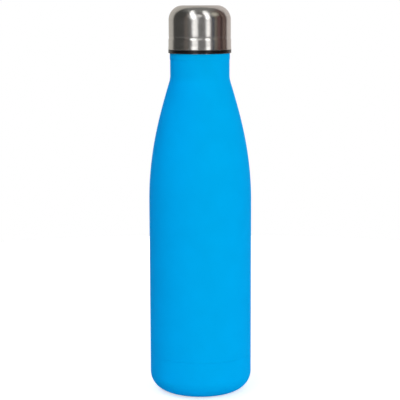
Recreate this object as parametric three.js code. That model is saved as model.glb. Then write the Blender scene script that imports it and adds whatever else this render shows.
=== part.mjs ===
// A half-litre vacuum-insulated steel water bottle with a screw-in stopper lid.
// Two thin steel vessels stand one inside the other and meet only at the drinking lip.
// The lid is a plastic stopper under a spun steel cap, and a silicone ring seals it on the lip.
// Millimetres, +Z up. The origin is the centre of the foot ring, on the plane the bottle stands on.

import * as THREE from 'three';

// Outer vessel: a straight wall, a shoulder that leans in, and a straight neck
const BODY_DIAMETER = 70;
const NECK_DIAMETER = 40.2;
const STRAIGHT_HEIGHT = 132;
const SHOULDER_HEIGHT = 86.2;
const NECK_HEIGHT = 14.6;
const SHOULDER_LEAN = 17;
const BELLY_EASE = 32.4;
const SHOULDER_EASE = 25.3;
const NECK_FILLET = 15.2;
const OUTER_WALL = 0.5;

// The neck's rolled collar and the turned-in top edge that carries the inner vessel
const COLLAR_PROUD = 0.2;
const COLLAR_HEIGHT = 4.1;
const COLLAR_BLEND = 0.8;
const NECK_EDGE_RADIUS = 1;
const WELD_LEDGE = 0.65;

// Base of the outer vessel: a separate pressing, welded on at the seam
const BASE_SEAM_HEIGHT = 25.5;
const BASE_CORNER_RADIUS = 12.5;
const FOOT_WIDTH = 2.5;
const FOOT_RISE = 2.5;
const FOOT_SLOPE = 2.4;
const DIMPLE_RADIUS = 6;
const DIMPLE_DEPTH = 2.2;
const DIMPLE_SLOPE = 1.8;
const PUMP_HOLE_RADIUS = 1.2;

// Plate that covers the pump hole, and the glass bead that seals it
const PLATE_THICKNESS = 0.5;
const PLATE_EDGE_GAP = 0.4;
const PLATE_RIM_WIDTH = 2.2;
const PLATE_DISH = 0.35;
const BEAD_RADIUS = 3.4;
const BEAD_THICKNESS = 1.5;

// Inner vessel
const VACUUM_GAP = 4.2;
const NECK_GAP = 1.8;
const LINER_WALL = 0.4;
const LINER_SEAM_HEIGHT = 24;
const LINER_BASE_CORNER = 12;
const BASE_VACUUM_GAP = 4;
const LIP_WIDTH = 1.75;
const LIP_HEIGHT = 1.5;
const LIP_ROUND = 0.6;

// Getter pill that keeps the vacuum, and the strap that holds it under the inner vessel
const GETTER_RADIUS = 4;
const GETTER_THICKNESS = 1.6;
const GETTER_OFFSET = 10;
const STRAP_THICKNESS = 0.3;
const STRAP_WIDTH = 3;
const STRAP_FOOT = 2.4;

// Room between the plug and the neck for the screw thread's ridge and its running clearance
const THREAD_DEPTH = 1;
const THREAD_CLEARANCE = 0.35;

// Stopper, its cover and its filling
const RING_HEIGHT = 2.4;
const RING_PROUD = 1.2;
const RING_GAP = 0.3;
const PLUG_LENGTH = 18.7;
const PLUG_CHAMFER = 1.5;
const PLASTIC_WALL = 1.6;
const LIP_CLEARANCE = 0.3;
const GASKET_THICKNESS = 1.5;
const GASKET_GRIP = 0.25;
const GASKET_ROUND = 0.35;
const SNAP_BEAD_HEIGHT = 5;
const COVER_SPIGOT = 2.2;
const FIT_GAP = 0.3;

// Steel cap, spun from sheet: a flared edge, a band that ends in a groove, a wall and a domed top
const CAP_HEIGHT = 29.5;
const CAP_WALL = 0.5;
const CAP_FLARE_PROUD = 1.2;
const CAP_FLARE_HEIGHT = 2;
const CAP_EDGE_HEIGHT = 0.4;
const CAP_BAND_PROUD = 1.08;
const CAP_BAND_HEIGHT = 7.6;
const CAP_STEP_HEIGHT = 0.5;
const CAP_GROOVE_DEPTH = 0.15;
const CAP_SHOULDER_PROUD = 0.9;
const CAP_DOME_HEIGHT = 9.5;
const CAP_CROWN_RADIUS = 9.6;
const CAP_DOME_EASE = 0.4;
const CAP_CROWN_EASE = 0.78;

// How finely curves are cut into facets, and how far a facet may stray from a curve in an outline
const ROUND_FACETS = 40;
const INNER_FACETS = 32;
const SMALL_FACETS = 24;
const FACET_SAG = 0.1;

// Heights and radii that follow from the sizes above
const bodyRadius = BODY_DIAMETER / 2;
const neckRadius = NECK_DIAMETER / 2;
const neckFootZ = STRAIGHT_HEIGHT + SHOULDER_HEIGHT;
const neckTopZ = neckFootZ + NECK_HEIGHT;
const lipTopZ = neckTopZ + LIP_HEIGHT;

const linerRadius = bodyRadius - OUTER_WALL - VACUUM_GAP;
const linerNeckRadius = neckRadius - OUTER_WALL - NECK_GAP;
const mouthRadius = linerNeckRadius - LINER_WALL;
const lipRadius = mouthRadius + LIP_WIDTH;
const weldRadius = lipRadius - WELD_LEDGE;

const plugRadius = mouthRadius - THREAD_DEPTH - THREAD_CLEARANCE;
const plugBottomZ = neckTopZ - PLUG_LENGTH;
const ringBottomZ = neckTopZ + RING_GAP;
const ringTopZ = ringBottomZ + RING_HEIGHT;
const ringRadius = neckRadius + RING_PROUD;
const gasketTopZ = lipTopZ + GASKET_THICKNESS;
const recessRadius = lipRadius + LIP_CLEARANCE;
const chamberFloorZ = gasketTopZ + PLASTIC_WALL;

const capBandTopZ = ringTopZ + CAP_BAND_HEIGHT;
const capTopZ = ringTopZ + CAP_HEIGHT;
const capBandRadius = neckRadius + CAP_BAND_PROUD;
const capShoulderRadius = neckRadius + CAP_SHOULDER_PROUD;
const capGrooveRadius = capShoulderRadius - CAP_GROOVE_DEPTH;
const domeFootZ = capTopZ - CAP_DOME_HEIGHT;

const stopperBandRadius = capBandRadius - CAP_WALL - FIT_GAP;
const stopperWaistRadius = capGrooveRadius - CAP_WALL - FIT_GAP;
const snapBeadTopZ = Math.min(ringTopZ + FIT_GAP + SNAP_BEAD_HEIGHT, capBandTopZ);
const coverSeatZ = domeFootZ - COVER_SPIGOT;

const baseFloorZ = FOOT_RISE + OUTER_WALL;
const linerBottomZ = baseFloorZ + BASE_VACUUM_GAP;
const footOuterRadius = bodyRadius - BASE_CORNER_RADIUS;
const footInnerRadius = footOuterRadius - FOOT_WIDTH;
const recessFloorRadius = footInnerRadius - FOOT_SLOPE;

const lean = THREE.MathUtils.degToRad(SHOULDER_LEAN);

// Materials
const paint = new THREE.MeshStandardMaterial({ color: 0x00a6ec, roughness: 0.5, metalness: 0 });
const brushedSteel = new THREE.MeshStandardMaterial({ color: 0xb8b4ae, roughness: 0.32, metalness: 1 });
const linerSteel = new THREE.MeshStandardMaterial({ color: 0xc6c5c2, roughness: 0.22, metalness: 1 });
const blackPlastic = new THREE.MeshStandardMaterial({ color: 0x141417, roughness: 0.5, metalness: 0 });
const silicone = new THREE.MeshStandardMaterial({ color: 0xdfe2df, roughness: 0.6, metalness: 0 });
const foam = new THREE.MeshStandardMaterial({ color: 0xf4f3ee, roughness: 0.95, metalness: 0 });
const getterMetal = new THREE.MeshStandardMaterial({ color: 0x6a6a6e, roughness: 0.7, metalness: 0.6 });
const sealGlass = new THREE.MeshStandardMaterial({ color: 0x35403c, roughness: 0.15, metalness: 0 });

// Cuts a path into points, without repeating the ends that its parts share. A chord of an arc
// strays from it by length times angle over eight, so the cuts come from the total of both.
function pointsAlong(path) {
  const points = [];
  for (const curve of path.curves) {
    const bend = curve.getTangent(0).angleTo(curve.getTangent(1));
    const steps = Math.max(1, Math.ceil(Math.sqrt(curve.getLength() * bend / (8 * FACET_SAG))));
    for (let i = 0; i <= steps; i++) {
      const point = curve.getPoint(i / steps);
      if (!points.length || points.at(-1).distanceTo(point) > 1e-4) points.push(point);
    }
  }
  return points;
}

// The same line moved to its left by a distance, with mitred corners.
function offsetLine(points, distance) {
  return points.map((point, i) => {
    const before = points[Math.max(i - 1, 0)];
    const after = points[Math.min(i + 1, points.length - 1)];
    const arriving = point.clone().sub(i ? before : after).multiplyScalar(i ? 1 : -1).normalize();
    const leaving = after.clone().sub(i < points.length - 1 ? point : before).normalize();
    const normal = new THREE.Vector2(-arriving.y - leaving.y, arriving.x + leaving.x).normalize();
    const mitre = normal.x * -arriving.y + normal.y * arriving.x;
    return point.clone().addScaledVector(normal, distance / mitre);
  });
}

// The closed outline of sheet metal whose outer face is the path and whose metal lies to its left.
function sheetOutline(path, wall) {
  const outer = pointsAlong(path);
  return [...outer, ...offsetLine(outer, wall).reverse()];
}

// Turns an outline of radius and height about the Z axis. It runs anticlockwise, radius to the right.
// An outline that starts and ends on the axis stays open there, and any other is closed.
function revolve(outline, facets) {
  const touchesAxis = outline[0].x < 1e-6 && outline.at(-1).x < 1e-6;
  const points = touchesAxis ? outline : [...outline, outline[0]];
  return new THREE.LatheGeometry(points, facets).rotateX(Math.PI / 2);
}

// Adds to a path the shoulder from the straight wall to the neck, both of them tangent.
function addShoulder(path, wallRadius, neckWallRadius, fillet) {
  const filletRadius = neckWallRadius + fillet * (1 - Math.cos(lean));
  const filletZ = neckFootZ - fillet * Math.sin(lean);
  path.lineTo(wallRadius, STRAIGHT_HEIGHT);
  path.bezierCurveTo(
    wallRadius, STRAIGHT_HEIGHT + BELLY_EASE,
    filletRadius + SHOULDER_EASE * Math.sin(lean), filletZ - SHOULDER_EASE * Math.cos(lean),
    filletRadius, filletZ,
  );
  path.absarc(neckWallRadius + fillet, neckFootZ, fillet, Math.PI + lean, Math.PI, true);
}

// Adds to a path the dome from an upright wall to the middle of a nearly flat crown.
function addDome(path, wallRadius, topZ) {
  const rise = topZ - domeFootZ;
  const crownRadius = CAP_CROWN_RADIUS;
  const crownEase = (wallRadius - crownRadius) * CAP_CROWN_EASE;
  path.bezierCurveTo(
    wallRadius, domeFootZ + rise * CAP_DOME_EASE,
    crownRadius + crownEase, topZ,
    crownRadius, topZ,
  );
  path.lineTo(0, topZ);
}

// Outer vessel: wall, shoulder, neck, collar and the top edge turned in to the weld
function outerShell() {
  const collarRadius = neckRadius + COLLAR_PROUD;
  const collarBottomZ = neckTopZ - COLLAR_HEIGHT;
  const path = new THREE.Path();
  path.moveTo(bodyRadius, BASE_SEAM_HEIGHT);
  addShoulder(path, bodyRadius, neckRadius, NECK_FILLET);
  path.lineTo(neckRadius, collarBottomZ - COLLAR_BLEND);
  path.lineTo(collarRadius, collarBottomZ);
  path.lineTo(collarRadius, neckTopZ - NECK_EDGE_RADIUS);
  path.absarc(collarRadius - NECK_EDGE_RADIUS, neckTopZ - NECK_EDGE_RADIUS, NECK_EDGE_RADIUS, 0, Math.PI / 2);
  path.lineTo(weldRadius, neckTopZ);
  return revolve(sheetOutline(path, OUTER_WALL), ROUND_FACETS);
}

// Base pressing: wall, round corner, foot ring, recess, and a dimple with the pump hole
function outerBase() {
  const path = new THREE.Path();
  path.moveTo(PUMP_HOLE_RADIUS, FOOT_RISE + DIMPLE_DEPTH);
  path.lineTo(DIMPLE_RADIUS - DIMPLE_SLOPE, FOOT_RISE + DIMPLE_DEPTH);
  path.lineTo(DIMPLE_RADIUS, FOOT_RISE);
  path.lineTo(recessFloorRadius, FOOT_RISE);
  path.lineTo(footInnerRadius, 0);
  path.lineTo(footOuterRadius, 0);
  path.absarc(footOuterRadius, BASE_CORNER_RADIUS, BASE_CORNER_RADIUS, -Math.PI / 2, 0);
  path.lineTo(bodyRadius, BASE_SEAM_HEIGHT);
  return revolve(sheetOutline(path, OUTER_WALL), ROUND_FACETS);
}

// Plate in the base's recess, with a flat rim against the recess and a shallow dish inside it
function basePlate() {
  const plateRadius = recessFloorRadius - PLATE_EDGE_GAP;
  const dishRadius = plateRadius - PLATE_RIM_WIDTH;
  const bottomZ = FOOT_RISE - PLATE_THICKNESS;
  const outline = [
    new THREE.Vector2(0, bottomZ - PLATE_DISH),
    new THREE.Vector2(dishRadius - PLATE_DISH, bottomZ - PLATE_DISH),
    new THREE.Vector2(dishRadius, bottomZ),
    new THREE.Vector2(plateRadius, bottomZ),
    new THREE.Vector2(plateRadius, FOOT_RISE),
    new THREE.Vector2(dishRadius, FOOT_RISE),
    new THREE.Vector2(dishRadius - PLATE_DISH, FOOT_RISE - PLATE_DISH),
    new THREE.Vector2(0, FOOT_RISE - PLATE_DISH),
  ];
  return revolve(outline, INNER_FACETS);
}

// Glass bead melted into the dimple, with a nub that plugs the pump hole
function sealBead() {
  const topZ = FOOT_RISE + DIMPLE_DEPTH;
  const nubRadius = PUMP_HOLE_RADIUS - FIT_GAP;
  const path = new THREE.Path();
  path.absellipse(0, topZ, BEAD_RADIUS, BEAD_THICKNESS, -Math.PI / 2, 0);
  path.lineTo(nubRadius, topZ);
  path.lineTo(nubRadius, topZ + OUTER_WALL);
  path.lineTo(0, topZ + OUTER_WALL);
  return revolve(pointsAlong(path), SMALL_FACETS);
}

// Inner vessel: wall, shoulder, neck, and a lip that rests on the outer vessel's turned-in edge
function liner() {
  const outer = new THREE.Path();
  outer.moveTo(linerRadius, LINER_SEAM_HEIGHT);
  addShoulder(outer, linerRadius, linerNeckRadius, NECK_FILLET + NECK_GAP);
  outer.lineTo(linerNeckRadius, neckTopZ);
  const wallLine = pointsAlong(outer);
  const inside = offsetLine(wallLine, LINER_WALL).slice(0, -1).reverse();
  const lip = new THREE.Path();
  lip.moveTo(lipRadius, neckTopZ);
  lip.absarc(lipRadius - LIP_ROUND, lipTopZ - LIP_ROUND, LIP_ROUND, 0, Math.PI / 2);
  lip.absarc(mouthRadius + LIP_ROUND, lipTopZ - LIP_ROUND, LIP_ROUND, Math.PI / 2, Math.PI);
  return revolve([...wallLine, ...pointsAlong(lip), ...inside], INNER_FACETS);
}

// Bottom pressing of the inner vessel
function linerBase() {
  const cornerRadius = linerRadius - LINER_BASE_CORNER;
  const path = new THREE.Path();
  path.moveTo(0, linerBottomZ);
  path.lineTo(cornerRadius, linerBottomZ);
  path.absarc(cornerRadius, linerBottomZ + LINER_BASE_CORNER, LINER_BASE_CORNER, -Math.PI / 2, 0);
  path.lineTo(linerRadius, LINER_SEAM_HEIGHT);
  return revolve(sheetOutline(path, LINER_WALL), INNER_FACETS);
}

// Getter pill, hung under the inner vessel
function getterPill() {
  const pill = new THREE.CylinderGeometry(GETTER_RADIUS, GETTER_RADIUS, GETTER_THICKNESS, SMALL_FACETS);
  return pill.rotateX(Math.PI / 2);
}

// Strap of hat section that holds the pill, its two feet spot-welded to the inner vessel
function getterStrap() {
  const drop = GETTER_THICKNESS + 2 * FIT_GAP + STRAP_THICKNESS;
  const inner = GETTER_RADIUS + FIT_GAP;
  const outer = inner + STRAP_THICKNESS;
  const foot = outer + STRAP_FOOT;
  const outline = new THREE.Shape([
    new THREE.Vector2(-foot, 0),
    new THREE.Vector2(-foot, -STRAP_THICKNESS),
    new THREE.Vector2(-outer, -STRAP_THICKNESS),
    new THREE.Vector2(-outer, -drop),
    new THREE.Vector2(outer, -drop),
    new THREE.Vector2(outer, -STRAP_THICKNESS),
    new THREE.Vector2(foot, -STRAP_THICKNESS),
    new THREE.Vector2(foot, 0),
    new THREE.Vector2(inner, 0),
    new THREE.Vector2(inner, STRAP_THICKNESS - drop),
    new THREE.Vector2(-inner, STRAP_THICKNESS - drop),
    new THREE.Vector2(-inner, 0),
  ]);
  const strap = new THREE.ExtrudeGeometry(outline, { depth: STRAP_WIDTH, bevelEnabled: false });
  return strap.translate(0, 0, -STRAP_WIDTH / 2).rotateX(Math.PI / 2);
}

// Silicone ring between the lip and the stopper's ceiling
function gasket() {
  const inner = plugRadius + GASKET_GRIP;
  const outer = recessRadius - LIP_CLEARANCE;
  const path = new THREE.Path();
  path.moveTo(inner, lipTopZ);
  path.lineTo(outer - GASKET_ROUND, lipTopZ);
  path.lineTo(outer, lipTopZ + GASKET_ROUND);
  path.lineTo(outer, gasketTopZ - GASKET_ROUND);
  path.lineTo(outer - GASKET_ROUND, gasketTopZ);
  path.lineTo(inner, gasketTopZ);
  return revolve(pointsAlong(path), INNER_FACETS);
}

// Stopper: a hollow plug, the black ring that shows, and a wide chamber inside the steel cap
function stopper() {
  const chamberRadius = stopperWaistRadius - PLASTIC_WALL;
  const boreRadius = plugRadius - PLASTIC_WALL;
  const outline = [
    new THREE.Vector2(0, plugBottomZ),
    new THREE.Vector2(plugRadius - PLUG_CHAMFER, plugBottomZ),
    new THREE.Vector2(plugRadius, plugBottomZ + PLUG_CHAMFER),
    new THREE.Vector2(plugRadius, gasketTopZ),
    new THREE.Vector2(recessRadius, gasketTopZ),
    new THREE.Vector2(recessRadius, ringBottomZ),
    new THREE.Vector2(ringRadius, ringBottomZ),
    new THREE.Vector2(ringRadius, ringTopZ),
    new THREE.Vector2(stopperBandRadius, ringTopZ),
    new THREE.Vector2(stopperBandRadius, snapBeadTopZ),
    new THREE.Vector2(stopperWaistRadius, snapBeadTopZ + CAP_STEP_HEIGHT),
    new THREE.Vector2(stopperWaistRadius, coverSeatZ),
    new THREE.Vector2(chamberRadius, coverSeatZ),
    new THREE.Vector2(chamberRadius, chamberFloorZ),
    new THREE.Vector2(boreRadius, chamberFloorZ),
    new THREE.Vector2(boreRadius, plugBottomZ + PLASTIC_WALL),
    new THREE.Vector2(0, plugBottomZ + PLASTIC_WALL),
  ];
  return revolve(outline, INNER_FACETS);
}

// Domed cover that closes the stopper's chamber, under the steel cap, with a spigot that centres it
function stopperCover() {
  const path = new THREE.Path();
  path.moveTo(stopperWaistRadius, coverSeatZ);
  path.lineTo(stopperWaistRadius, domeFootZ);
  addDome(path, stopperWaistRadius, capTopZ - CAP_WALL - FIT_GAP);
  const outer = pointsAlong(path);
  const ceiling = offsetLine(outer, PLASTIC_WALL).slice(1).reverse();
  const spigotRadius = stopperWaistRadius - PLASTIC_WALL - FIT_GAP;
  const spigot = [
    new THREE.Vector2(spigotRadius - PLASTIC_WALL, domeFootZ),
    new THREE.Vector2(spigotRadius - PLASTIC_WALL, coverSeatZ - COVER_SPIGOT),
    new THREE.Vector2(spigotRadius, coverSeatZ - COVER_SPIGOT),
    new THREE.Vector2(spigotRadius, coverSeatZ),
  ];
  return revolve([...ceiling, ...spigot, ...outer], INNER_FACETS);
}

// Foam filling, narrow in the plug and wide in the chamber
function foamCore() {
  const plugCore = plugRadius - PLASTIC_WALL - FIT_GAP;
  const chamberCore = stopperWaistRadius - PLASTIC_WALL - FIT_GAP;
  const topZ = coverSeatZ - COVER_SPIGOT - FIT_GAP;
  const outline = [
    new THREE.Vector2(0, plugBottomZ + PLASTIC_WALL),
    new THREE.Vector2(plugCore, plugBottomZ + PLASTIC_WALL),
    new THREE.Vector2(plugCore, chamberFloorZ),
    new THREE.Vector2(chamberCore, chamberFloorZ),
    new THREE.Vector2(chamberCore, topZ),
    new THREE.Vector2(0, topZ),
  ];
  return revolve(outline, INNER_FACETS);
}

// Steel cap
function capShell() {
  const path = new THREE.Path();
  path.moveTo(neckRadius + CAP_FLARE_PROUD, ringTopZ);
  path.lineTo(neckRadius + CAP_FLARE_PROUD, ringTopZ + CAP_EDGE_HEIGHT);
  path.lineTo(capBandRadius, ringTopZ + CAP_FLARE_HEIGHT);
  path.lineTo(capBandRadius, capBandTopZ - CAP_STEP_HEIGHT);
  path.lineTo(capGrooveRadius, capBandTopZ);
  path.lineTo(capShoulderRadius, capBandTopZ + CAP_STEP_HEIGHT);
  path.lineTo(capShoulderRadius, domeFootZ);
  addDome(path, capShoulderRadius, capTopZ);
  return revolve(sheetOutline(path, CAP_WALL), ROUND_FACETS);
}

// Assembly
const bottle = new THREE.Group();

function add(name, geometry, material) {
  const piece = new THREE.Mesh(geometry, material);
  piece.name = name;
  bottle.add(piece);
  return piece;
}

add('outer_shell', outerShell(), paint);
add('outer_base', outerBase(), paint);
add('base_plate', basePlate(), brushedSteel);
add('seal_bead', sealBead(), sealGlass);
add('liner', liner(), linerSteel);
add('liner_base', linerBase(), linerSteel);
add('getter_pill', getterPill(), getterMetal)
  .position.set(GETTER_OFFSET, 0, linerBottomZ - FIT_GAP - GETTER_THICKNESS / 2);
add('getter_strap', getterStrap(), linerSteel)
  .position.set(GETTER_OFFSET, 0, linerBottomZ);
add('gasket', gasket(), silicone);
add('stopper', stopper(), blackPlastic);
add('stopper_cover', stopperCover(), blackPlastic);
add('foam_core', foamCore(), foam);
add('cap_shell', capShell(), brushedSteel);

export default bottle;
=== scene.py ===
# %% [markdown]
# # An insulated steel water bottle
# This lesson dresses the CAD model of a vacuum bottle, so that it looks like the real one in a studio.
# The CAD model holds every size and every moving body. Blender adds smooth curves and finishes.
# Each piece made here stands for one CAD piece and moves with its body, so nothing is placed by hand.

# %% Load the CAD model
import math

import bpy
from mathutils import Matrix, Vector


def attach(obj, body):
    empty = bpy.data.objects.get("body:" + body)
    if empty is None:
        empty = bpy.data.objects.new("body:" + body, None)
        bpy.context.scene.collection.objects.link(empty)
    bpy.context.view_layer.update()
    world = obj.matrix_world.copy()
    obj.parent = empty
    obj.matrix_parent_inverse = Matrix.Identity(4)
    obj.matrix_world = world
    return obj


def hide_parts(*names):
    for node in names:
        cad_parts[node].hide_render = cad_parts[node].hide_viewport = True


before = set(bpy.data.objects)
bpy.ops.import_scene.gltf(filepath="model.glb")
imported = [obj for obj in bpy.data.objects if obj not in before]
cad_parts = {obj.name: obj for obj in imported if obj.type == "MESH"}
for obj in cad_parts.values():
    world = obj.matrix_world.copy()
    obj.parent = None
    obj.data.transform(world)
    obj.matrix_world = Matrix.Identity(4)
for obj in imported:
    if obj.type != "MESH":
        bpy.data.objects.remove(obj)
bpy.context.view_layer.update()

print("CAD pieces:", ", ".join(sorted(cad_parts)))

# %% [markdown]
# ## The camera
# A bottle's outline tells where the camera stood. A straight body that looks narrower at its foot was
# seen from close by, and the curve of the ring under the cap tells the height of the lens.
# Solving for both gives a long lens 875 mm from the axis, level with the top of the cap and tilted down.
# The picture leans by a sixth of a degree, so the camera is rolled by as much.

# %% Place the camera
MM = 0.001
PICTURE_PIXELS = 400
FOCAL_PIXELS = 1286.9
LENS_PLACE = Vector((-0.17, -875, 265.1)) * MM
TILT_DOWN = 8.61
ROLL = -0.17

camera_data = bpy.data.cameras.new("camera")
camera_data.sensor_width = 36
camera_data.lens = FOCAL_PIXELS / PICTURE_PIXELS * camera_data.sensor_width
camera = bpy.data.objects.new("camera", camera_data)
camera.matrix_world = (
    Matrix.Translation(LENS_PLACE)
    @ Matrix.Rotation(math.radians(90 - TILT_DOWN), 4, "X")
    @ Matrix.Rotation(math.radians(ROLL), 4, "Z")
)
bpy.context.scene.collection.objects.link(camera)
bpy.context.scene.camera = camera
print("lens: %.1f mm" % camera_data.lens)

# %% [markdown]
# ## Turning an outline
# Every metal and plastic piece here is round, because the real ones are spun, drawn or moulded round.
# Blender's Screw modifier could turn an outline, but a thread needs a radius that changes with the angle,
# so a short function makes the rings of points itself and lets a piece change its radius on the way.
# Real edges are never sharp. Each corner of an outline gets a small arc, and a soft edge catches light.

# %% Helpers for outlines
ARC_STEP = math.radians(15)
SHORT_RUN = 0.5
END_MARGIN = 0.1
CLOSEST_POINTS = 0.02


def rounded(corners):
    """Swaps each corner (radius, height, rounding) of an outline for a small arc. Millimetres."""
    points = []
    for i, (radius, height, rounding) in enumerate(corners):
        here = Vector((radius, height))
        if rounding == 0:
            points.append(here)
            continue
        back = (Vector(corners[i - 1][:2]) - here).normalized()
        ahead = (Vector(corners[(i + 1) % len(corners)][:2]) - here).normalized()
        opening = back.angle(ahead)
        centre = here + (back + ahead).normalized() * rounding / math.sin(opening / 2)
        start = here + back * rounding / math.tan(opening / 2) - centre
        end = here + ahead * rounding / math.tan(opening / 2) - centre
        sweep = math.atan2(start.x * end.y - start.y * end.x, start.dot(end))
        steps = max(2, math.ceil(abs(sweep) / ARC_STEP))
        for k in range(steps + 1):
            points.append(centre + Matrix.Rotation(sweep * k / steps, 2) @ start)
    return points


def spaced(points, longest=2.0, closed=True):
    """Adds points to long straight runs, close to their ends too, so that smooth shading stays true."""
    result = []
    for i, here in enumerate(points):
        result.append(here)
        if i == len(points) - 1 and not closed:
            break
        run = points[(i + 1) % len(points)] - here
        if run.length > SHORT_RUN:
            margin = END_MARGIN / run.length
            count = max(1, math.ceil(run.length / longest))
            stops = [margin] + [k / count for k in range(1, count)] + [1 - margin]
            result += [here + run * stop for stop in stops]
    return result


def fair_curve(start, start_handle, end_handle, end, steps):
    """Points along a cubic curve, without its first one."""
    result = []
    for k in range(1, steps + 1):
        t = k / steps
        shares = ((1 - t) ** 3, 3 * t * (1 - t) ** 2, 3 * t * t * (1 - t), t ** 3)
        pulls = zip((start, start_handle, end_handle, end), shares)
        result.append(sum((Vector(point) * share for point, share in pulls), Vector((0, 0))))
    return result


def quarter_round(radius, height, bend, steps):
    """A quarter circle about a centre, from a level bottom up into an upright wall."""
    turns = [math.radians(90 * k / steps) for k in range(steps + 1)]
    return [Vector((radius + bend * math.sin(turn), height - bend * math.cos(turn))) for turn in turns]


def offset(points, distance):
    """The same line moved to its left by a distance, as the inner face of a sheet follows its outer one."""
    result = []
    for i, here in enumerate(points):
        back = (here - points[i - 1]).normalized() if i else (points[1] - here).normalized()
        ahead = (points[i + 1] - here).normalized() if i < len(points) - 1 else back
        normal = Vector((-back.y - ahead.y, back.x + ahead.x)).normalized()
        moved = here + normal * distance / (normal.x * -back.y + normal.y * back.x)
        if not result or (moved - result[-1]).length > CLOSEST_POINTS:
            result.append(moved)
    return result


square = rounded([(0, 0, 1), (10, 0, 1), (10, 10, 1), (0, 10, 1)])
print("a 10 mm square with rounded corners has", len(square), "points")

# %% [markdown]
# ### From outline to piece
# A lathe turns a profile into a round part, and this function does the same with points. Each point of the
# outline becomes a ring, and neighbouring rings are joined by faces. A point on the axis becomes one pole.
# It could be done by hand with the Spin tool, but then every change of a size would mean spinning again.
# The function also says which CAD piece the new one stands for, and which body carries it.

# %% Turn an outline into a piece
ON_AXIS = 1e-5
POINTS_ROUND = 160


def turned(name, outline, body, replaces=(), segments=POINTS_ROUND, shape=None):
    """Revolves an anticlockwise outline in millimetres about Z. Points on the axis become poles."""
    vertices, rings = [], []
    for point in outline:
        if point.x < ON_AXIS:
            rings.append([len(vertices)] * segments)
            vertices.append((0, 0, point.y * MM))
            continue
        ring = []
        for k in range(segments):
            angle = 2 * math.pi * k / segments
            radius = point.x + (shape(angle, point.x, point.y) if shape else 0)
            ring.append(len(vertices))
            vertices.append((radius * math.cos(angle) * MM, radius * math.sin(angle) * MM, point.y * MM))
        rings.append(ring)
    faces = []
    ends_on_axis = outline[0].x < ON_AXIS and outline[-1].x < ON_AXIS
    for i in range(len(rings) - 1 if ends_on_axis else len(rings)):
        lower, upper = rings[i], rings[(i + 1) % len(rings)]
        for k in range(segments):
            corners = [lower[k], lower[(k + 1) % segments], upper[(k + 1) % segments], upper[k]]
            faces.append(list(dict.fromkeys(corners)))
    mesh = bpy.data.meshes.new(name)
    mesh.from_pydata(vertices, [], faces)
    mesh.shade_smooth()
    piece = bpy.data.objects.new(name, mesh)
    bpy.context.scene.collection.objects.link(piece)
    if replaces:
        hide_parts(*replaces)
    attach(piece, body)
    print("%s: %d faces, radius up to %.1f mm, height %.1f to %.1f mm" % (
        name, len(faces), max(p.x for p in outline), min(p.y for p in outline), max(p.y for p in outline)))
    return piece


print("points in each ring:", POINTS_ROUND)

# %% [markdown]
# ## The painted body
# On the real bottle the outer vessel is a steel tube, drawn in at the shoulder and neck by rollers.
# The shoulder could be a row of measured points, but one cubic curve that leaves the straight wall upright
# and meets the neck's fillet at 17 degrees follows it within a few tenths of a millimetre, and stays fair.
# The inner face is the same line moved in by the thickness of the sheet.

# %% Outer wall, shoulder and neck
LEAN = math.radians(17)
STRAIGHT_TOP = 132.0
WALL_PULL = 32.4
NECK_PULL = 25.3
NECK_FOOT = 218.2
NECK_TOP = 232.8
BODY_RADIUS = 35.0
NECK_RADIUS = 20.1
NECK_FILLET = 15.2
COLLAR_RADIUS = 20.32
COLLAR_FOOT = 228.4
OUTER_SHEET = 0.5
BASE_SEAM = 26.3
SEAM_DEPTH = 0.11
SEAM_EDGE = 0.09
SEAM_FLOOR = 0.01


def shoulder(wall_radius, neck_radius, fillet):
    """Points from the top of the straight wall, up the shoulder, to the foot of the neck."""
    def on_fillet(turn):
        out = fillet * (1 - math.cos(turn))
        return Vector((neck_radius + out, NECK_FOOT - fillet * math.sin(turn)))

    line = fair_curve(
        (wall_radius, STRAIGHT_TOP),
        (wall_radius, STRAIGHT_TOP + WALL_PULL),
        on_fillet(LEAN) + NECK_PULL * Vector((math.sin(LEAN), -math.cos(LEAN))),
        on_fillet(LEAN), 60)
    return line + [on_fillet(LEAN * (1 - k / 8)) for k in range(1, 9)]


wall_line = [Vector((BODY_RADIUS, BASE_SEAM + SEAM_EDGE)), Vector((BODY_RADIUS, STRAIGHT_TOP))]
wall_line = spaced(wall_line, 2.5, closed=False) + shoulder(BODY_RADIUS, NECK_RADIUS, NECK_FILLET)
collar_line = rounded([
    (NECK_RADIUS, NECK_FOOT + 0.5, 0), (NECK_RADIUS, COLLAR_FOOT, 0.8), (COLLAR_RADIUS, COLLAR_FOOT + 1, 0.8),
    (COLLAR_RADIUS, NECK_TOP + 0.3, 0.3), (19.2, NECK_TOP, 0), (18.5, NECK_TOP, 0),
])
outer_face = wall_line + spaced(collar_line, 1.0, closed=False)
seam_point = Vector((BODY_RADIUS - SEAM_DEPTH, BASE_SEAM + SEAM_FLOOR))
outer_wall = turned(
    "outer_wall", [seam_point] + outer_face + offset(outer_face, OUTER_SHEET)[::-1],
    "bottle", ["outer_shell"])

# %% [markdown]
# ## The base
# The bottom is a separate pressing, welded on and ground smooth before painting, and a faint ring still
# shows where the two meet. A dark line of paint could draw it, but that would look the same in every light.
# Here both edges turn in by a tenth of a millimetre and leave a groove a fifth of a millimetre high, so the
# ring comes and goes with the light. Under the bottle are a narrow foot ring and a shallow recess.

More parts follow.
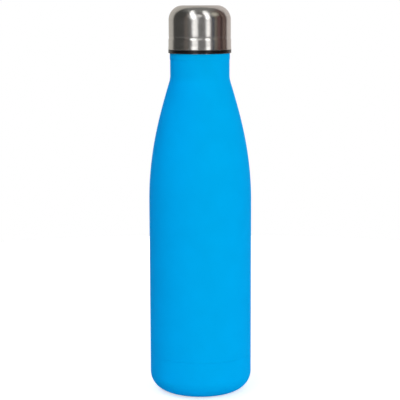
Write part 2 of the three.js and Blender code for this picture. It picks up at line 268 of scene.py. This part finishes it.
# %% Base pressing
CORNER = 12.5
base_line = spaced(rounded([
    (1.2, 4.7, 0), (4.2, 4.7, 0.5), (6.0, 2.5, 0.5), (17.6, 2.5, 0.8), (20.0, 0.0, 0.7), (22.3, 0.0, 0),
]), 1.5, closed=False)
base_line += quarter_round(BODY_RADIUS - CORNER, CORNER, CORNER, 24)
base_side = [Vector((BODY_RADIUS, CORNER + 0.4)), Vector((BODY_RADIUS, BASE_SEAM - SEAM_EDGE))]
base_line += spaced(base_side, 2.5, closed=False)
seam_point = Vector((BODY_RADIUS - SEAM_DEPTH, BASE_SEAM - SEAM_FLOOR))
base_cup = turned(
    "base_cup", base_line + [seam_point] + offset(base_line, OUTER_SHEET)[::-1],
    "bottle", ["outer_base"])

# %% [markdown]
# ## The plate under the base
# A thin disc covers the spot where the air was pumped out. It is bare steel, turned on a lathe, so fine
# circles run round it. It could be left as the CAD disc, but its dish needs a soft edge to look pressed.

# %% Base plate
base_disc = turned("base_disc", spaced(rounded([
    (0, 1.65, 0), (14.65, 1.65, 0.5), (15.0, 2.0, 0.5), (17.2, 2.0, 0.15),
    (17.2, 2.5, 0.1), (15.0, 2.5, 0.3), (14.65, 2.15, 0.3), (0, 2.15, 0),
]), 1.5, closed=False), "bottle", ["base_plate"])

# %% [markdown]
# ## The screw thread
# The stopper has a single ridge that climbs 4 mm in each turn, and the neck has one to match, rolled into
# the sheet. A swept curve joined to the wall would need a boolean cut. It is simpler to say how high
# the ridge stands at each angle and height, and to let the wall's own points rise by that much.
# The neck's ridge starts half a pitch above the stopper's, so the flanks pass each other as the lid turns.

# %% Thread shape
PITCH = 4.0
THREAD_DEPTH = 1.0
THREAD_ROWS = 0.16
HALF_RIDGE = 0.85
FLANK = 0.4
FADE_TURNS = 0.2
NECK_THREAD_START = 220.2
NECK_THREAD_TURNS = 2
STOPPER_THREAD_START = NECK_THREAD_START - PITCH / 2
STOPPER_THREAD_TURNS = 2.25


def eased(share):
    """A share from 0 to 1 with a soft start and end."""
    share = min(1.0, max(0.0, share))
    return share * share * (3 - 2 * share)


def thread(angle, height, start, turns):
    """How far the ridge stands here, from 0 to 1. It fades in and out over a fifth of a turn."""
    turn = angle / (2 * math.pi)
    along = turn + round((height - start) / PITCH - turn)
    beside = abs(height - start - PITCH * along)
    return eased((HALF_RIDGE - beside) / FLANK) * eased(min(along, turns - along) / FADE_TURNS)


crest = NECK_THREAD_START + PITCH
for spot, height in (("crest", crest), ("flank", crest + 0.65), ("valley", crest + PITCH / 2)):
    print("ridge at the %s: %.2f" % (spot, thread(0, height, NECK_THREAD_START, NECK_THREAD_TURNS)))

# %% [markdown]
# ## The inner vessel
# The drink touches only this vessel. It hangs in the outer one from the rolled lip and touches it nowhere
# else, so heat has no short way through. The shoulder follows the same law as the outside, moved in by the
# vacuum gap. It is seen only with the lid off, but then the lip and thread are what the eye goes to.

# %% Inner vessel with its lip and thread
LINER_RADIUS = 30.3
MOUTH_RADIUS = 17.4
LINER_NECK = 17.8
LINER_FOOT = 24.0
INNER_SHEET = 0.4
LIP_TOP = 234.3
LIP_RADIUS = 19.15
LIP_ROUNDING = 0.62
LINER_FILLET = 17.0

liner_line = [Vector((LINER_RADIUS, LINER_FOOT)), Vector((LINER_RADIUS, STRAIGHT_TOP))]
liner_line = spaced(liner_line, 3, closed=False) + shoulder(LINER_RADIUS, LINER_NECK, LINER_FILLET)
lip = rounded([
    (LIP_RADIUS, NECK_TOP, 0.1), (LIP_RADIUS, LIP_TOP, LIP_ROUNDING), (MOUTH_RADIUS, LIP_TOP, LIP_ROUNDING),
    (MOUTH_RADIUS, 218.5, 0),
])
neck_inside = [Vector((MOUTH_RADIUS, 233.4 - THREAD_ROWS * k)) for k in range(1, 90)]
liner_inside = [point for point in offset(liner_line, INNER_SHEET)[::-1] if point.y < 218.9]


def neck_thread(angle, radius, height):
    """How far the neck's inner face moves in here to make its ridge, in millimetres."""
    if radius >= MOUTH_RADIUS + 0.1 or height <= NECK_FOOT:
        return 0
    return -THREAD_DEPTH * thread(angle, height, NECK_THREAD_START, NECK_THREAD_TURNS)


inner_vessel = turned(
    "inner_vessel", liner_line + [Vector((LINER_NECK, NECK_TOP))] + lip[:-1] + neck_inside + liner_inside,
    "bottle", ["liner"], shape=neck_thread)

# %% [markdown]
# ### The bottom of the inner vessel
# The real inner vessel is a tube with a pressed bottom welded on, so it is two pieces here as well. A plain
# flat disc would do where nobody looks in, but the large round corner shows from above, is easy to clean,
# and helps the thin sheet to bear the vacuum. One quarter circle draws it.

# %% Bottom of the inner vessel
BOTTOM_HEIGHT = 7.0
BOTTOM_CORNER = 12.0
bottom_line = [Vector((radius, BOTTOM_HEIGHT)) for radius in (0, 6, 12, 18)]
bottom_line += quarter_round(LINER_RADIUS - BOTTOM_CORNER, BOTTOM_HEIGHT + BOTTOM_CORNER, BOTTOM_CORNER, 20)
bottom_line.append(Vector((LINER_RADIUS, LINER_FOOT - 0.02)))
inner_bottom = turned(
    "inner_bottom", bottom_line + offset(bottom_line, INNER_SHEET)[::-1],
    "bottle", ["liner_base"])

# %% [markdown]
# ## The sealing ring
# A ring of silicone sits under the stopper's ceiling and is squeezed on the lip. Silicone is cloudy, not
# clear, so light goes a little way into it. It rises with the stopper as the lid unscrews.

# %% Sealing ring
GASKET_TOP = LIP_TOP + 1.5
gasket = turned("sealing_ring", spaced(rounded([
    (16.3, LIP_TOP, 0.3), (LIP_RADIUS, LIP_TOP, 0.45),
    (LIP_RADIUS, GASKET_TOP, 0.45), (16.3, GASKET_TOP, 0.3),
]), 1.0), "seal_ring", ["gasket"])

# %% [markdown]
# ## The stopper
# One black moulding makes the threaded plug, the thin ring that shows under the cap, and the chamber inside
# the cap. Only the ring shows when the bottle is closed, yet it is the darkest line on the whole object,
# so its edges matter: two small arcs keep it from looking like a painted stripe.

# %% Stopper with its thread
PLUG_RADIUS = 16.05
PLUG_FOOT = 214.1
RING_RADIUS = 21.3
RING_FOOT = 233.2
RING_TOP = 235.5
CHAMBER_TOP = 253.3
plug_bottom = rounded([
    (0, PLUG_FOOT, 0), (PLUG_RADIUS - 1.5, PLUG_FOOT, 0.6), (PLUG_RADIUS, PLUG_FOOT + 1.5, 0.6),
    (PLUG_RADIUS, 217, 0),
])
plug_wall = [Vector((PLUG_RADIUS, 216.4 + THREAD_ROWS * k)) for k in range(76)]
stopper_top = rounded([
    (PLUG_RADIUS, 229, 0), (PLUG_RADIUS, 235.8, 0.2), (19.45, 235.8, 0.2), (19.45, RING_FOOT, 0.15),
    (RING_RADIUS, RING_FOOT, 0.3), (RING_RADIUS, RING_TOP, 0.2), (20.38, RING_TOP, 0.1),
    (20.38, 240.8, 0.3), (20.05, 241.3, 0.3), (20.05, CHAMBER_TOP, 0.2), (18.45, CHAMBER_TOP, 0.2),
    (18.45, 237.4, 0.5), (14.45, 237.4, 0.3), (14.45, 215.7, 0.5), (0, 215.7, 0),
])


def plug_thread(angle, radius, height):
    """How far the plug's wall moves out here to make its ridge, in millimetres."""
    if abs(radius - PLUG_RADIUS) >= 0.01:
        return 0
    return THREAD_DEPTH * thread(angle, height, STOPPER_THREAD_START, STOPPER_THREAD_TURNS)


stopper = turned(
    "stopper_moulding",
    spaced(plug_bottom[:-1], 1.5, closed=False) + plug_wall + spaced(stopper_top, 1.5, closed=False),
    "lid", ["stopper"], shape=plug_thread)

# %% [markdown]
# ## The steel cap
# The cap is spun from thin sheet over a former, which leaves a step where the sheet grips the plastic, an
# edge that flares a tenth of a millimetre, and a dome on top that flattens towards the middle. The step is
# only 0.3 mm deep. A picture of it would stay put as the eye moves, so it is modelled: its steep lower side
# mirrors the lamps as bright dashes, and its gentle upper side leans back out in about a millimetre.

# %% Cap
CAP_FOOT = 235.6
CAP_TOP = 265.0
CAP_SHEET = 0.5
EDGE_RADIUS = 21.3
BAND_RADIUS = 21.18
STEP_RADIUS = 20.89
CAP_RADIUS = 21.0
CROWN_RADIUS = 11.5
CAP_POINTS_ROUND = 192
cap_edge = rounded([
    (EDGE_RADIUS - CAP_SHEET, CAP_FOOT, 0), (EDGE_RADIUS, CAP_FOOT, 0.05), (EDGE_RADIUS, CAP_FOOT + 0.4, 0),
])
cap_wall = spaced(rounded([
    (EDGE_RADIUS, CAP_FOOT + 0.5, 0), (21.27, CAP_FOOT + 0.8, 0.4), (BAND_RADIUS, CAP_FOOT + 2.4, 1.5),
    (BAND_RADIUS, 242.2, 1.0), (STEP_RADIUS, 243.35, 0.1), (CAP_RADIUS, 244.5, 20.0), (CAP_RADIUS, 255.4, 0),
]), 1.2, closed=False)
dome = fair_curve((CAP_RADIUS, 255.5), (CAP_RADIUS, 260.0), (17.4, CAP_TOP), (CROWN_RADIUS, CAP_TOP), 40)
crown = [Vector((CROWN_RADIUS * (1 - k / 8), CAP_TOP)) for k in range(1, 9)]
cap_outside = cap_wall + dome + crown
cap = turned(
    "cap", offset(cap_outside, CAP_SHEET)[::-1] + cap_edge + cap_outside,
    "lid", ["cap_shell"], segments=CAP_POINTS_ROUND)

# %% [markdown]
# ## Finishes
# A finish is colour, gloss and small relief together. Each one below is built from noise in the piece's
# own coordinates, so it stays on the piece when the lid turns and needs no picture files.
# Numbers that are the same all over sit on the shader's own sockets, where other programs read them.

# %% Helpers for shader nodes
def new_finish(name, **sockets):
    """A material with a Principled shader whose even values are set on its own sockets."""
    material = bpy.data.materials.new(name)
    material.use_nodes = True
    shader = material.node_tree.nodes["Principled BSDF"]
    for key, value in sockets.items():
        shader.inputs[key.replace("_", " ")].default_value = value
    return material, material.node_tree, shader


def add(tree, kind, inputs=None, **settings):
    """Adds a node. Inputs are values or other nodes' outputs, by socket name or number."""
    made = tree.nodes.new("ShaderNode" + kind)
    for key, value in settings.items():
        setattr(made, key, value)
    for key, value in (inputs or {}).items():
        if isinstance(value, bpy.types.NodeSocket):
            tree.links.new(value, made.inputs[key])
        else:
            made.inputs[key].default_value = value
    return made


def noise(tree, vector, scale, detail=2.0, roughness=0.5):
    """Noise from 0 to 1 whose grains are about one over scale metres across."""
    made = add(tree, "TexNoise", {"Vector": vector, "Scale": scale, "Detail": detail, "Roughness": roughness})
    return made.outputs["Fac"]


def own_place(tree):
    """The coordinates of the piece itself, which turn and rise with it."""
    return add(tree, "TexCoord").outputs["Object"]


def spread(tree, value, low, high, from_low=0.3, from_high=0.7, **settings):
    """Stretches a value to run from low to high. Most noise lies between 0.3 and 0.7."""
    made = add(tree, "MapRange", {0: value, 1: from_low, 2: from_high, 3: low, 4: high}, **settings)
    return made.outputs[0]


def mix_colours(tree, share, first, second):
    """Mixes two colours by a share from 0 to 1. Either may be a colour or the output of a node."""
    return add(tree, "Mix", {0: share, 6: first, 7: second}, data_type="RGBA").outputs[2]


def combine(tree, operation, *values):
    """One number worked out from two or three, each a number or the output of a node."""
    return add(tree, "Math", dict(enumerate(values)), operation=operation).outputs[0]


def two_tones(tree, shader, share, dark, light):
    """Lets the base colour wander between two close tones."""
    tree.links.new(mix_colours(tree, share, dark, light), shader.inputs["Base Color"])


def wandering_gloss(tree, shader, value):
    """Lets the roughness follow a value."""
    tree.links.new(value, shader.inputs["Roughness"])


def bump(tree, shader, height, depth_mm, normal=None):
    """Relief of a depth in millimetres on the shader's normal."""
    inputs = {"Height": height, "Strength": 1.0, "Distance": depth_mm * MM}
    if normal is not None:
        inputs["Normal"] = normal
    made = add(tree, "Bump", inputs)
    tree.links.new(made.outputs["Normal"], shader.inputs["Normal"])
    return made.outputs["Normal"]


def wear_finish(piece, material):
    """Gives a piece, or a CAD piece that stays, one finish all over."""
    piece.data.materials.clear()
    piece.data.materials.append(material)


print("shader helpers ready")

# %% [markdown]
# ### Powder paint
# The blue is a powder that melts on the steel in an oven. It dries nearly matte, with a fine orange-peel
# skin less than a millimetre across. An even finish would give a flat, computer-made blue, so the tone and
# the gloss wander a little and the skin is in the relief. Paint seen at a glancing angle would turn pale
# with sheen, but here the blue stays deep up to the outline, so the specular level is almost nothing.

# %% Blue powder paint
paint, tree, shader = new_finish("powder_paint", Roughness=0.6, IOR=1.45, Specular_IOR_Level=0.005)
place = own_place(tree)
tone = spread(tree, noise(tree, place, 60, 3), 0, 1)
two_tones(tree, shader, tone, (0.0, 0.39, 0.845, 1), (0.0, 0.41, 0.875, 1))
wandering_gloss(tree, shader, spread(tree, noise(tree, place, 900, 3), 0.5, 0.62))
skin = bump(tree, shader, noise(tree, place, 1500, 2), 0.012)
bump(tree, shader, noise(tree, place, 7000, 1), 0.002, skin)
for piece in (outer_wall, base_cup):
    wear_finish(piece, paint)
print("painted:", outer_wall.name, base_cup.name)

# %% [markdown]
# ### Brushed steel
# The cap is brushed as it spins, so thousands of hair-fine grooves run round it. They smear a reflection up
# and down and leave it sharp from side to side, which is why two lamps become two upright bands.
# The grooves need a coordinate that grows along the outline. Height minus radius does that on walls, domes
# and flat tops alike, and the anisotropic setting does the smearing that grooves this fine would do.
# One noise makes the hairs, a second makes broader rings of tone, and a third lets the gloss wander.
# Thin sheet is never quite true either, so the cap's dome gets very shallow dents that bend reflections.

# %% Brushed steel
GRAIN_STRETCH = 110
DOME_FOOT = 250 * MM
DOME_TOP = 262 * MM


def brushed_steel(name, dark, light, low, high, anisotropy, groove_mm, dents_mm=0):
    """Steel brushed round the axis: hair-fine rings in colour, gloss and relief, and dents on a dome."""
    material, tree, shader = new_finish(
        name, Metallic=1.0, Anisotropic=anisotropy, Anisotropic_Rotation=0.25)
    place = own_place(tree)
    x, y, z = add(tree, "SeparateXYZ", {0: place}).outputs
    flat = add(tree, "CombineXYZ", {0: x, 1: y}).outputs[0]
    radius = add(tree, "VectorMath", {0: flat}, operation="LENGTH").outputs["Value"]
    along = combine(tree, "MULTIPLY", combine(tree, "SUBTRACT", z, radius), GRAIN_STRETCH)
    lines = add(tree, "CombineXYZ", {0: x, 1: y, 2: along}).outputs[0]
    hairs = noise(tree, lines, 55, 4, 0.7)
    rings = noise(tree, lines, 13, 3, 0.6)
    blotches = noise(tree, place, 160, 2)
    share = combine(tree, "ADD", spread(tree, hairs, 0, 0.5), spread(tree, rings, 0, 0.5))
    two_tones(tree, shader, share, dark, light)
    drift = spread(tree, blotches, -0.015, 0.015)
    wandering_gloss(tree, shader, combine(tree, "ADD", spread(tree, hairs, low, high), drift))
    grooves = bump(tree, shader, hairs, groove_mm)
    if dents_mm:
        dome_share = spread(tree, z, 0.15, 1, DOME_FOOT, DOME_TOP)
        dents = combine(tree, "MULTIPLY", noise(tree, place, 230, 2), dome_share)
        bump(tree, shader, dents, dents_mm, grooves)
    round_axis = add(tree, "Tangent", direction_type="RADIAL", axis="Z")
    tree.links.new(round_axis.outputs[0], shader.inputs["Tangent"])
    return material


cap_steel = brushed_steel(
    "brushed_cap_steel", (0.56, 0.55, 0.53, 1), (0.66, 0.645, 0.62, 1), 0.17, 0.24,
    anisotropy=0.35, groove_mm=0.0008, dents_mm=0.2)
wear_finish(cap, cap_steel)
base_steel = brushed_steel(
    "turned_base_steel", (0.5, 0.5, 0.49, 1), (0.64, 0.64, 0.63, 1), 0.28, 0.4,
    anisotropy=0.5, groove_mm=0.002)
wear_finish(base_disc, base_steel)
print("brushed:", cap.name, base_disc.name)

# %% [markdown]
# ### Inner steel
# The inner vessel is polished with acid, which rounds off every scratch and leaves an even, watery satin.
# Faint rings stay from the rolling of the neck. Nothing is laid on food steel, so no coating is added.

# %% Inner steel
liner_steel = brushed_steel(
    "polished_inner_steel", (0.6, 0.6, 0.585, 1), (0.68, 0.68, 0.665, 1), 0.16, 0.26,
    anisotropy=0.3, groove_mm=0.0012)
for piece in (inner_vessel, inner_bottom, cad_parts["getter_strap"]):
    wear_finish(piece, liner_steel)
print("inner steel on:", inner_vessel.name, inner_bottom.name)

# %% [markdown]
# ### Black plastic
# The stopper is polypropylene from a lightly blasted mould: black, waxy, and never quite even. It is not
# fully black, or its edges would vanish, and a second fine noise stands for the blasted grain.

# %% Black plastic
plastic, tree, shader = new_finish("black_polypropylene", IOR=1.49, Specular_IOR_Level=0.35)
place = own_place(tree)
tone = spread(tree, noise(tree, place, 220, 3), 0, 1)
two_tones(tree, shader, tone, (0.003, 0.003, 0.004, 1), (0.006, 0.0055, 0.007, 1))
wandering_gloss(tree, shader, spread(tree, noise(tree, place, 1200, 2), 0.22, 0.3))
bump(tree, shader, noise(tree, place, 5000, 2), 0.004)
for piece in (stopper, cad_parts["stopper_cover"]):
    wear_finish(piece, plastic)
print("black plastic on:", stopper.name)

# %% [markdown]
# ### Silicone
# Silicone looks like thin milk: light enters, scatters and comes out near by. Glass would be too clear and
# plain white too chalky, so it gets a little scattering under a soft sheen, with dust-fine grain.

# %% Silicone
silicone, tree, shader = new_finish(
    "cloudy_silicone", IOR=1.41,
    Subsurface_Weight=0.6, Subsurface_Scale=0.0012, Subsurface_Radius=(1, 1, 1))
place = own_place(tree)
tone = spread(tree, noise(tree, place, 300, 2), 0, 1)
two_tones(tree, shader, tone, (0.68, 0.71, 0.69, 1), (0.76, 0.78, 0.76, 1))
wandering_gloss(tree, shader, spread(tree, noise(tree, place, 1500, 2), 0.42, 0.55))
bump(tree, shader, noise(tree, place, 4000, 2), 0.003)
wear_finish(gasket, silicone)
print("silicone on:", gasket.name)

# %% [markdown]
# ### Pieces that never show
# The foam in the lid, the getter and the drop of glass that sealed the vacuum are inside. Their CAD shapes
# stay as they are, and each still gets the finish of its stuff, so a cut-away view would be right.

# %% Foam, getter and sealing glass
def plain_stuff(name, dark, light, scale, low, high, depth_mm, **sockets):
    """A simple finish: two close tones, wandering gloss and grain of one size."""
    material, tree, shader = new_finish(name, **sockets)
    grain = noise(tree, own_place(tree), scale, 3)
    two_tones(tree, shader, spread(tree, grain, 0, 1), dark, light)
    wandering_gloss(tree, shader, spread(tree, grain, low, high))
    bump(tree, shader, grain, depth_mm)
    return material


wear_finish(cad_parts["foam_core"], plain_stuff(
    "foam", (0.8, 0.79, 0.73, 1), (0.9, 0.89, 0.85, 1), 1100, 0.85, 1.0, 0.1))
wear_finish(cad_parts["getter_pill"], plain_stuff(
    "getter_metal", (0.12, 0.12, 0.13, 1), (0.2, 0.2, 0.21, 1), 3000, 0.6, 0.8, 0.02, Metallic=0.6))
wear_finish(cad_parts["seal_bead"], plain_stuff(
    "solder_glass", (0.03, 0.045, 0.04, 1), (0.05, 0.07, 0.06, 1), 500, 0.08, 0.16, 0.01, IOR=1.7))
print("hidden pieces finished")

# %% [markdown]
# ## Studio
# Steel shows the room more than itself, so the room is designed first. Behind the bottle is a pale
# backdrop, which gives the cap its light edges. Towards the camera the room is dark, with a few dim upright
# things, a grey floor and two light patches overhead, because a real studio is never empty. A picture of a
# room could be wrapped round the scene, but a few soft shapes can each be set where the cap shows them.

# %% World
world = bpy.data.worlds.new("studio")
bpy.context.scene.world = world
world.use_nodes = True
tree = world.node_tree
background = tree.nodes["Background"]
direction = add(tree, "TexCoord").outputs["Generated"]
sideways, _, upward = add(tree, "SeparateXYZ", {0: direction}).outputs


def smooth(value, start, end):
    """0 before the start, 1 past the end, and a soft change between them."""
    return spread(tree, value, 0, 1, start, end, interpolation_type="SMOOTHSTEP")


def agreement(line, toward):
    """How far a direction agrees with another, from -1 to 1."""
    return add(tree, "VectorMath", {0: line, 1: toward}, operation="DOT_PRODUCT").outputs["Value"]


def glimmer(toward, wide, colour, room):
    """A soft light patch on the room, wide degrees from its middle to its edge."""
    aim = agreement(direction, Vector(toward).normalized())
    return mix_colours(tree, smooth(aim, math.cos(math.radians(wide)), 1), room, colour)


def upright(azimuth, wide, colour, room):
    """A soft upright stripe on the room, wide degrees from its middle to its edge."""
    level = add(tree, "VectorMath", {0: direction, 1: (1, 1, 0)}, operation="MULTIPLY").outputs[0]
    level = add(tree, "VectorMath", {0: level}, operation="NORMALIZE").outputs[0]
    aim = agreement(level, (math.sin(math.radians(azimuth)), -math.cos(math.radians(azimuth)), 0))
    return mix_colours(tree, smooth(aim, math.cos(math.radians(wide)), 1), room, colour)


room = mix_colours(tree, smooth(sideways, -0.6, 0.9), (0.075, 0.074, 0.07, 1), (0.12, 0.08, 0.075, 1))
room = glimmer((-0.02, -1.0, 0.0), 55, (0.21, 0.205, 0.205, 1), room)
for azimuth, wide, colour in (
    (-51, 10, (0.165, 0.14, 0.125, 1)),
    (52, 8, (0.06, 0.08, 0.11, 1)),
    (61, 7, (0.22, 0.19, 0.155, 1)),
    (76, 7, (0.17, 0.095, 0.09, 1)),
    (87, 7, (0.05, 0.03, 0.03, 1)),
    (100, 9, (0.2, 0.145, 0.125, 1)),
):
    room = upright(azimuth, wide, colour, room)

ceiling = (0.25, 0.25, 0.24, 1)
room_floor = (0.3, 0.29, 0.28, 1)
room = mix_colours(tree, smooth(upward, 0.7, 0.95), room, ceiling)
room = mix_colours(tree, smooth(upward, -0.28, -0.16), room_floor, room)
backdrop = mix_colours(tree, smooth(sideways, -0.6, 0.6), (0.6, 0.575, 0.53, 1), (0.71, 0.65, 0.62, 1))
room = mix_colours(tree, smooth(agreement(direction, (-0.03, 1.0, 0.0)), 0.36, 0.54), room, backdrop)
room = glimmer((-0.055, -0.85, 0.54), 16, (1.0, 1.0, 0.98, 1), room)
room = glimmer((0.72, -0.32, 0.62), 19, (0.62, 0.6, 0.51, 1), room)
camera_sees = add(tree, "LightPath").outputs["Is Camera Ray"]
tree.links.new(mix_colours(tree, camera_sees, room, (1, 1, 1, 1)), background.inputs["Color"])
print("world: white to the camera, and to steel a dark room with a pale backdrop behind")

# %% [markdown]
# ### Lamps
# Two tall softboxes in front lean back overhead and become the two upright bands. A smaller lamp before
# each adds light to its heart, because a real softbox is brightest in its middle. All are placed by the
# direction in which the cap sees them. Three large soft fills light the paint evenly. They are tinted a
# little, since one blue looks different from side to side in mixed light, and kept out of reflections.

# %% Softboxes and fills
CAP_PLACE = Vector((0, 0, 0.25))
BOTTLE_MIDDLE = Vector((0, 0, 0.13))
FILL_WIDTH = 1.0
FILL_HEIGHT = 0.6


def lamp(name, place, turn, width, height, power):
    """A rectangular lamp in metres and watts that the camera does not see."""
    data = bpy.data.lights.new(name, "AREA")
    data.shape = "RECTANGLE"
    data.size = width
    data.size_y = height
    data.energy = power
    made = bpy.data.objects.new(name, data)
    made.matrix_world = Matrix.Translation(place) @ turn.to_4x4()
    made.visible_camera = False
    bpy.context.scene.collection.objects.link(made)
    print("%s: %.2f W, %.2f by %.2f m" % (name, power, width, height))
    return made


def from_cap(azimuth, elevation, distance):
    """The way from the cap to a place, given in degrees to the right, degrees up and metres."""
    level = distance * math.cos(math.radians(elevation))
    right = level * math.sin(math.radians(azimuth))
    toward_camera = level * math.cos(math.radians(azimuth))
    return Vector((right, -toward_camera, distance * math.sin(math.radians(elevation))))


def softbox(name, low, high, width, power):
    """A tall lamp between a low and a high end, each given as for from_cap."""
    low_end = from_cap(*low)
    high_end = from_cap(*high)
    middle = (low_end + high_end) / 2
    up = (high_end - low_end).normalized()
    across = up.cross(middle).normalized()
    turn = Matrix((across, up, across.cross(up))).transposed()
    return lamp(name, CAP_PLACE + middle, turn, width, (high_end - low_end).length, power)


def fill(name, place, power, tint):
    """A large soft lamp that faces the bottle and stays out of reflections."""
    turn = (BOTTLE_MIDDLE - Vector(place)).to_track_quat("-Z", "Y").to_matrix()
    made = lamp(name, place, turn, FILL_WIDTH, FILL_HEIGHT, power)
    made.data.color = tint
    made.visible_glossy = False
    return made


softbox("softbox_left", (-15.6, -7, 1.3), (-66, 70, 3.0), 0.45, 6.5)
softbox("softbox_left_heart", (-21, 8, 1.25), (-44, 57, 1.75), 0.3, 1.2)
softbox("softbox_right", (31, -7, 1.3), (31, 69.5, 2.25), 0.35, 4.1)
softbox("softbox_right_heart", (29, 8, 1.25), (32, 55, 1.5), 0.3, 0.95)
fill("fill_left", (-0.99, -0.17, 1.56), 9.2, (0.5, 0.54, 1.0))
fill("fill_front", (0.3, -1.72, 0.28), 8.9, (1.0, 1.0, 0.8))
fill("fill_right", (1.72, 0.3, 0.28), 11.6, (0.9, 0.89, 1.0))

# %% [markdown]
# ## Floor
# The floor is a round sheet of white paper. Lit to pure white it would wash out the bottle, so the paper
# gets no more light than the bottle does, and a glow of its own lifts it to white. A square sheet would do,
# but a round one comes back the same from every side and shows no corner in the cap.

# %% Floor
RING_RADII = [0.05, 0.15, 0.35, 0.6]
SPOKES = 64

points = [(0, 0, 0)]
for radius in RING_RADII:
    for k in range(SPOKES):
        angle = 2 * math.pi * k / SPOKES
        points.append((radius * math.cos(angle), radius * math.sin(angle), 0))
faces = [(0, 1 + k, 1 + (k + 1) % SPOKES) for k in range(SPOKES)]
for inner in range(1, 1 + SPOKES * (len(RING_RADII) - 1), SPOKES):
    outer = inner + SPOKES
    for k in range(SPOKES):
        ahead = (k + 1) % SPOKES
        faces.append((inner + k, outer + k, outer + ahead, inner + ahead))
floor_mesh = bpy.data.meshes.new("paper_floor")
floor_mesh.from_pydata(points, [], faces)
floor = bpy.data.objects.new("paper_floor", floor_mesh)
floor.location.z = -0.2 * MM
bpy.context.scene.collection.objects.link(floor)
print("floor: %.1f m across" % (2 * RING_RADII[-1]))

# %% [markdown]
# ### Paper
# Real paper has fibres, so a little noise in tone and relief keeps it from being a plane of light. Stronger
# lamps on the floor would have lit the bottle too, so the glow is mixed in by the kind of ray. The camera
# sees all of it, and steel two fifths, so that the cap mirrors a bright floor. The paint gets none of it.
# It is weaker at the bottle, which keeps the soft shadow, and grows where the lamps' own light falls off.

# %% White paper that glows for the camera
STEEL_SHARE = 0.4
GLOW_AT_BOTTLE = 0.6
GLOW_AT_EDGE = 0.95

paper, tree, shader = new_finish("white_paper", Roughness=0.9, Specular_IOR_Level=0.1)
place = own_place(tree)
two_tones(tree, shader, noise(tree, place, 400, 3), (0.8, 0.8, 0.8, 1), (0.83, 0.83, 0.83, 1))
bump(tree, shader, noise(tree, place, 900, 3), 0.02)
away = add(tree, "VectorMath", {0: place}, operation="LENGTH").outputs["Value"]
lift = spread(tree, away, GLOW_AT_BOTTLE, GLOW_AT_EDGE, 0.2, 0.55, interpolation_type="SMOOTHSTEP")
glow = add(tree, "Emission", {"Color": (1, 1, 1, 1), "Strength": lift})
lifted = add(tree, "AddShader", {0: shader.outputs[0], 1: glow.outputs[0]})
ray = add(tree, "LightPath").outputs
seen = combine(tree, "MULTIPLY_ADD", ray["Is Glossy Ray"], STEEL_SHARE, ray["Is Camera Ray"])
choice = add(tree, "MixShader", {0: seen, 1: shader.outputs[0], 2: lifted.outputs[0]})
tree.links.new(choice.outputs[0], tree.nodes["Material Output"].inputs["Surface"])
wear_finish(floor, paper)
print("paper: glow of %.2f at the bottle and %.2f at the edge" % (GLOW_AT_BOTTLE, GLOW_AT_EDGE))

# %% [markdown]
# ## Last steps
# The view transform stays Standard, so a colour comes out about as it was written.

# %% Set the view transform
bpy.context.scene.view_settings.view_transform = "Standard"
